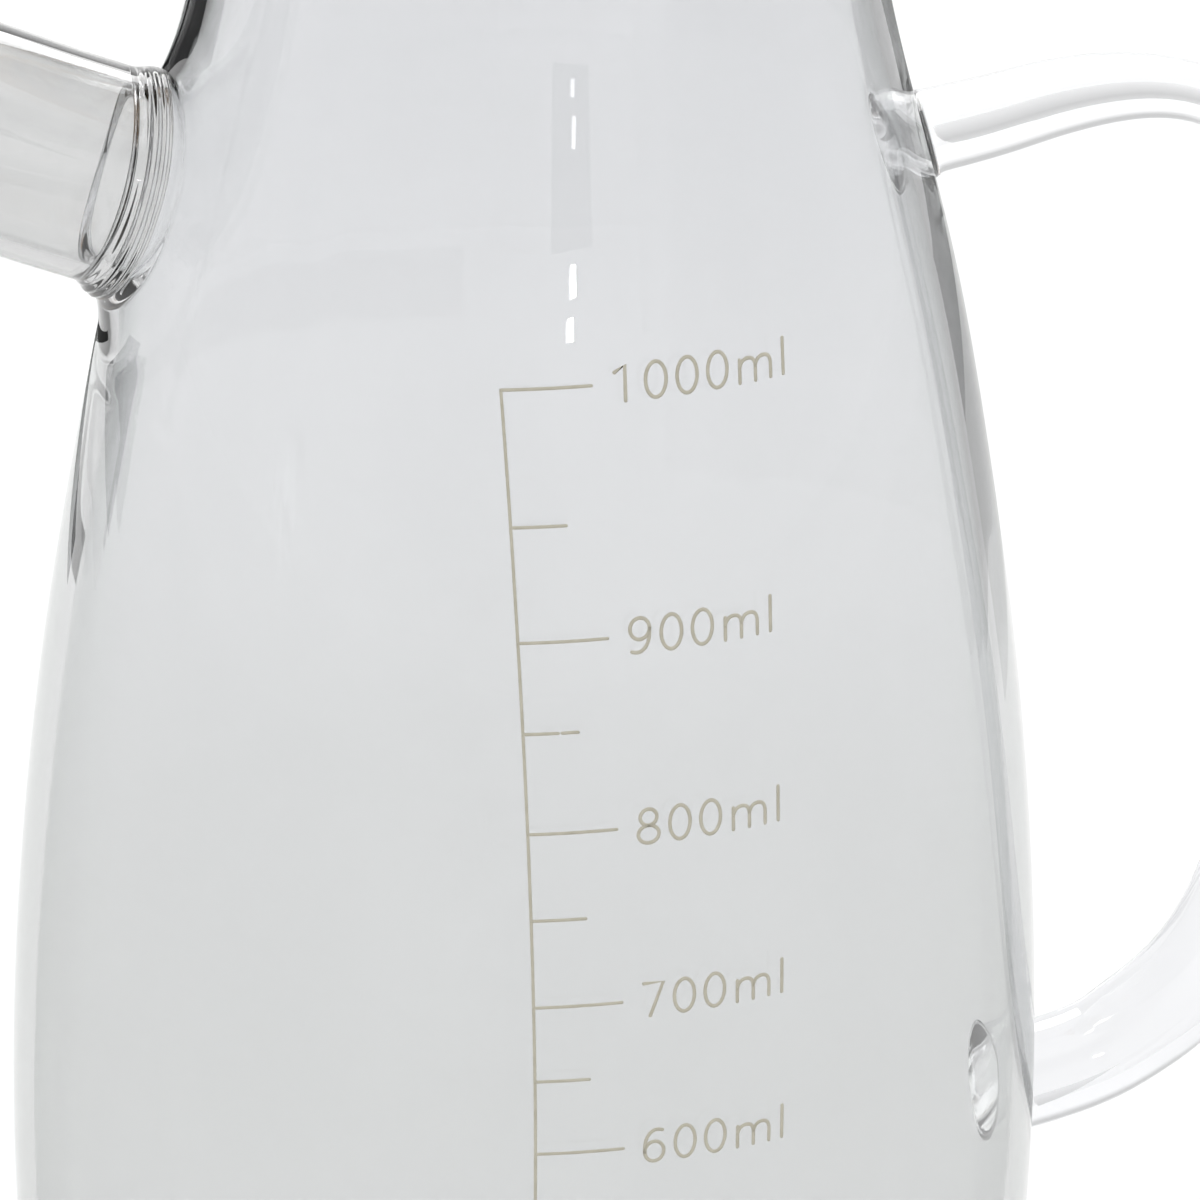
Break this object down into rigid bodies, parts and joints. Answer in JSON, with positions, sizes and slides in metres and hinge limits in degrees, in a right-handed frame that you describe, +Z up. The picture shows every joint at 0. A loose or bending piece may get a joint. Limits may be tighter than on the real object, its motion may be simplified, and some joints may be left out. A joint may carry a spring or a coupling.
{
  "type": "glass pouring jug",
  "caption": "Tall blown glass jug with a millilitre scale, a tube spout, a glass rod ear handle and a lift-off wooden lid with a seal ring.",
  "frame": {"origin": "centre of the flat base", "axes": "+Z up along the vessel's axis, the spout points along -X, the handle along +X, the printed scale faces -Y"},
  "size_m": [0.1889, 0.0996, 0.2466],
  "materials": {
    "glass": "clear, fire-polished borosilicate",
    "bamboo": "satin oiled",
    "silicone": "matte translucent white",
    "steel": "bright"
  },
  "bodies": {
    "jug": {"glass_body": "glass", "spout": "glass", "handle": "glass"},
    "lid": {"lid_disc": "bamboo", "lid_plug": "bamboo", "lid_knob": "bamboo", "seal_ring": "silicone", "knob_screw": "steel", "screw_washer": "steel"}
  },
  "joints": [
    {"name": "lid_lift", "type": "slide", "parent": "jug", "child": "lid", "axis": [0, 0, 1], "range_m": [0, 0.05]}
  ]
}
